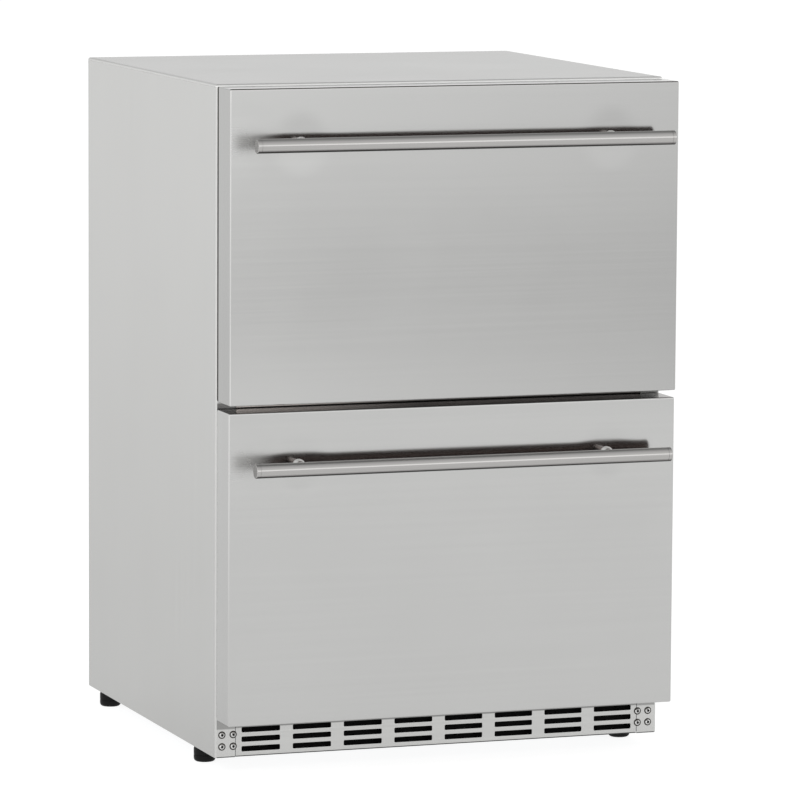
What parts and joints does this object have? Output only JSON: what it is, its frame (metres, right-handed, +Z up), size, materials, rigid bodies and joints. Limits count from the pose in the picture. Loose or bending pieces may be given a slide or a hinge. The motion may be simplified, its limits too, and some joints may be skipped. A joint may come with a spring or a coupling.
{
  "type": "under counter fridge",
  "caption": "Stainless steel under counter fridge with an upper and a lower pull-out drawer, bar handles, a slotted toe grille and black levelling feet.",
  "frame": {"origin": "middle of the footprint, on the floor", "axes": "+Z up, +X to the right seen from the front, -Y out of the drawer fronts"},
  "size_m": [0.597, 0.6643, 0.867],
  "materials": {
    "stainless": "satin",
    "front_steel": "satin",
    "bar_steel": "satin",
    "screw_steel": "satin",
    "galvanised": "matte",
    "slide_steel": "satin",
    "coil_metal": "satin",
    "liner_plastic": "satin",
    "cover_plastic": "satin",
    "gasket_rubber": "matte",
    "foam": "matte",
    "black_plastic": "satin",
    "fan_plastic": "satin",
    "compressor_black": "gloss",
    "mullion_black": "satin"
  },
  "bodies": {
    "cabinet": {"side_panel_left": "stainless", "side_panel_right": "stainless", "top_panel": "stainless", "toe_grille": "stainless", "bracket_screw_1": "screw_steel", "bracket_screw_2": "screw_steel", "bracket_screw_3": "screw_steel", "bracket_screw_4": "screw_steel", "bracket_screw_5": "screw_steel", "bracket_screw_6": "screw_steel", "bracket_screw_7": "screw_steel", "bracket_screw_8": "screw_steel", "rear_panel": "galvanised", "base_pan": "galvanised", "machine_bay_skin": "galvanised", "grille_bracket_left": "galvanised", "grille_bracket_right": "galvanised", "upper_slide_cabinet_left": "slide_steel", "upper_slide_cabinet_right": "slide_steel", "lower_slide_cabinet_left": "slide_steel", "lower_slide_cabinet_right": "slide_steel", "condenser_coil": "coil_metal", "evaporator_coil": "coil_metal", "inner_liner": "liner_plastic", "evaporator_cover": "cover_plastic", "control_housing": "cover_plastic", "insulation_foam": "foam", "center_mullion": "mullion_black", "power_inlet": "black_plastic", "condenser_fan_frame": "fan_plastic", "compressor": "compressor_black"},
    "upper_drawer": {"upper_front_panel": "front_steel", "upper_front_liner": "liner_plastic", "upper_gasket": "gasket_rubber", "upper_bin": "stainless", "upper_handle_bar": "bar_steel", "upper_handle_post_left": "bar_steel", "upper_handle_post_right": "bar_steel", "upper_slide_drawer_left": "slide_steel", "upper_slide_drawer_right": "slide_steel"},
    "lower_drawer": {"lower_front_panel": "front_steel", "lower_front_liner": "liner_plastic", "lower_gasket": "gasket_rubber", "lower_bin": "stainless", "lower_handle_bar": "bar_steel", "lower_handle_post_left": "bar_steel", "lower_handle_post_right": "bar_steel", "lower_slide_drawer_left": "slide_steel", "lower_slide_drawer_right": "slide_steel"},
    "upper_slide_mid": {"upper_slide_mid_left": "slide_steel", "upper_slide_mid_right": "slide_steel"},
    "lower_slide_mid": {"lower_slide_mid_left": "slide_steel", "lower_slide_mid_right": "slide_steel"},
    "foot_front_left": {"foot_front_left": "black_plastic"},
    "foot_front_right": {"foot_front_right": "black_plastic"},
    "foot_rear_left": {"foot_rear_left": "black_plastic"},
    "foot_rear_right": {"foot_rear_right": "black_plastic"},
    "condenser_fan": {"condenser_fan_rotor": "fan_plastic"},
    "evaporator_fan": {"evaporator_fan_rotor": "fan_plastic"},
    "thermostat_knob": {"thermostat_knob": "black_plastic"}
  },
  "joints": [
    {"name": "upper_drawer_slide", "type": "slide", "parent": "cabinet", "child": "upper_drawer", "axis": [0, -1, 0], "range_m": [0, 0.38]},
    {"name": "lower_drawer_slide", "type": "slide", "parent": "cabinet", "child": "lower_drawer", "axis": [0, -1, 0], "range_m": [0, 0.38]},
    {"name": "upper_mid_slide", "type": "slide", "parent": "cabinet", "child": "upper_slide_mid", "axis": [0, -1, 0], "range_m": [0, 0.19]},
    {"name": "lower_mid_slide", "type": "slide", "parent": "cabinet", "child": "lower_slide_mid", "axis": [0, -1, 0], "range_m": [0, 0.19]},
    {"name": "foot_front_left_height", "type": "slide", "parent": "cabinet", "child": "foot_front_left", "axis": [0, 0, -1], "range_m": [0, 0.018]},
    {"name": "foot_front_right_height", "type": "slide", "parent": "cabinet", "child": "foot_front_right", "axis": [0, 0, -1], "range_m": [0, 0.018]},
    {"name": "foot_rear_left_height", "type": "slide", "parent": "cabinet", "child": "foot_rear_left", "axis": [0, 0, -1], "range_m": [0, 0.018]},
    {"name": "foot_rear_right_height", "type": "slide", "parent": "cabinet", "child": "foot_rear_right", "axis": [0, 0, -1], "range_m": [0, 0.018]},
    {"name": "condenser_fan_spin", "type": "hinge", "parent": "cabinet", "child": "condenser_fan", "pos_m": [0.135, 0.18975, 0.112], "axis": [0, 1, 0], "continuous": true},
    {"name": "evaporator_fan_spin", "type": "hinge", "parent": "cabinet", "child": "evaporator_fan", "pos_m": [0, 0.24325, 0.705], "axis": [0, 1, 0], "continuous": true},
    {"name": "thermostat_turn", "type": "hinge", "parent": "cabinet", "child": "thermostat_knob", "pos_m": [0, -0.19875, 0.7955], "axis": [0, 1, 0], "range_deg": [0, 270]}
  ],
  "couplings": [
    {"joint": "upper_mid_slide", "follows": "upper_drawer_slide", "ratio": 0.5},
    {"joint": "lower_mid_slide", "follows": "lower_drawer_slide", "ratio": 0.5}
  ]
}
